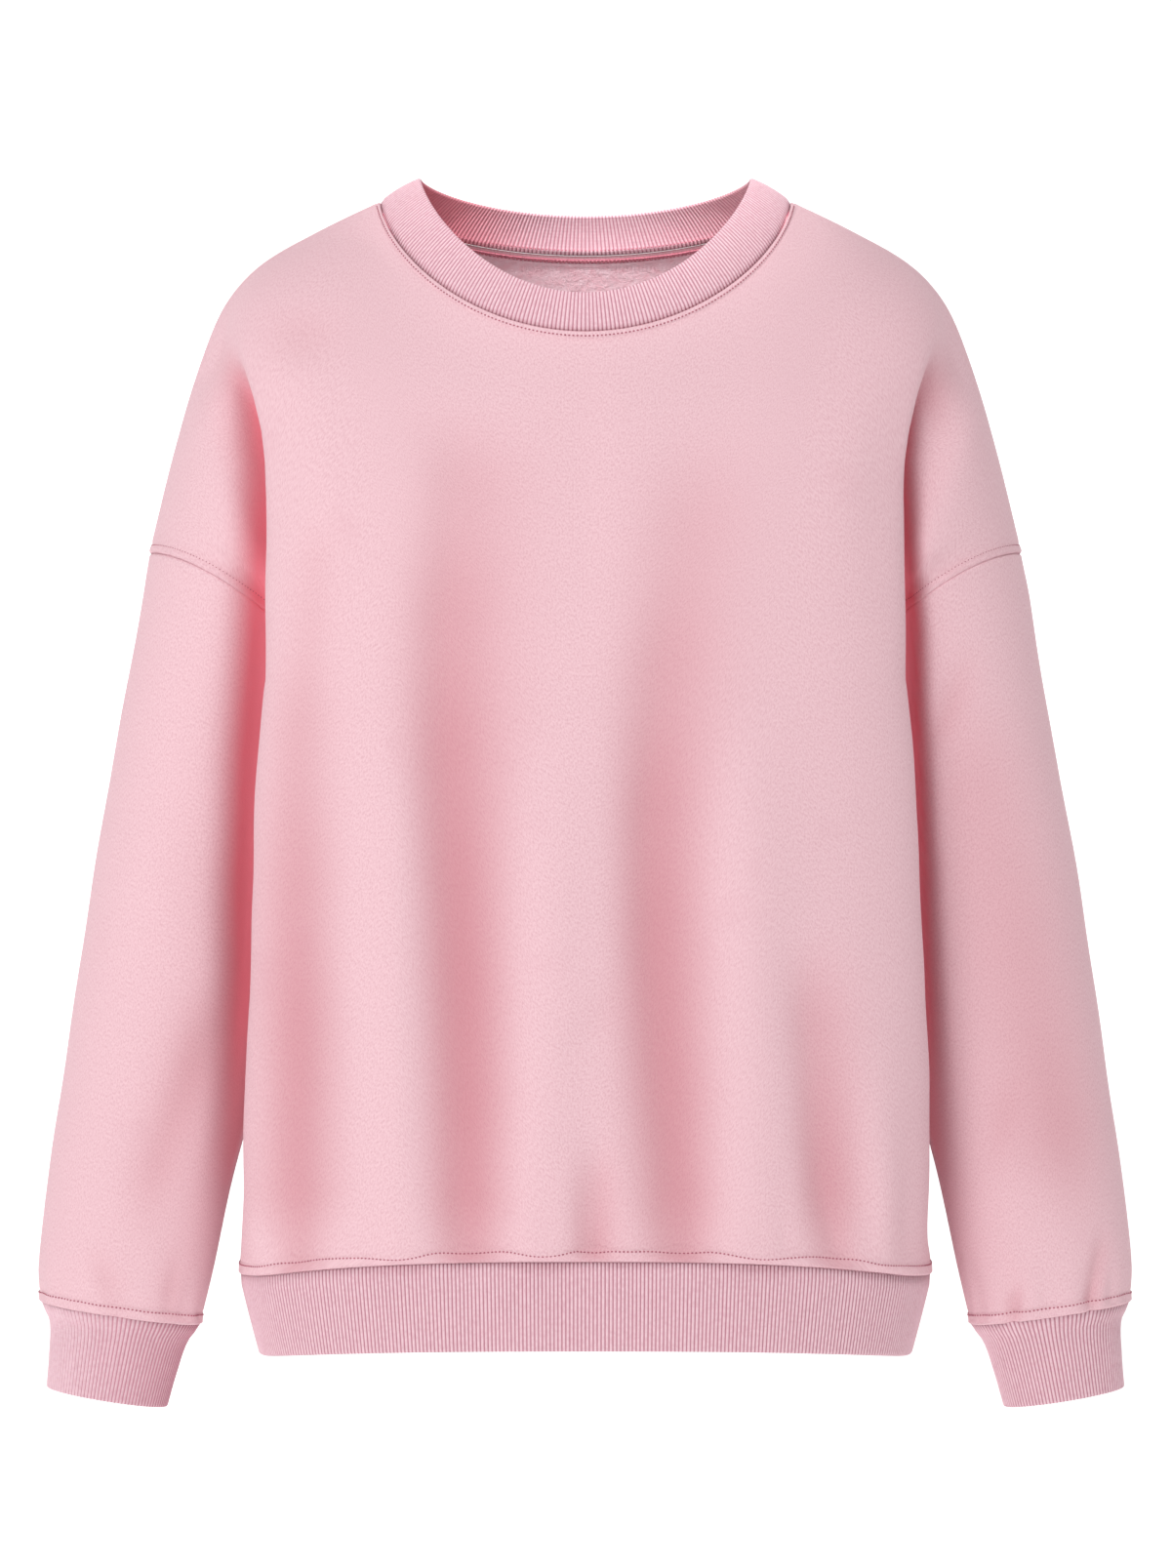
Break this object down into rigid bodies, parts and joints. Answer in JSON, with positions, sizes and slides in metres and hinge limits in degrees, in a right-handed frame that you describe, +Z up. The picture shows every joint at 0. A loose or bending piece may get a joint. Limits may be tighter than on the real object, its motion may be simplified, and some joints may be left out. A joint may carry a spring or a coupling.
{
  "type": "crewneck sweatshirt",
  "caption": "Oversized pullover sweatshirt with dropped shoulders, long sleeves, a rib-knit crew collar, cuffs and hem band, filled out as if worn and hollow inside.",
  "frame": {"origin": "between the two neck points, on the line where the shoulder seams meet the collar seam, where the shoulders hold the garment up", "axes": "+Z up along the body, -Y towards the front, +X towards the wearer's left sleeve"},
  "size_m": [0.656, 0.2738, 0.7409],
  "materials": {
    "fleece_jersey": "plain jersey face, brushed fleece inside, piece-dyed pale pink",
    "rib_knit": "one by one rib knit, folded double, dyed pale pink to match"
  },
  "bodies": {
    "root": {"front": "fleece_jersey", "back": "fleece_jersey", "sleeve_left": "fleece_jersey", "sleeve_right": "fleece_jersey", "collar": "rib_knit", "hem_band": "rib_knit", "cuff_left": "rib_knit", "cuff_right": "rib_knit"}
  },
  "joints": []
}
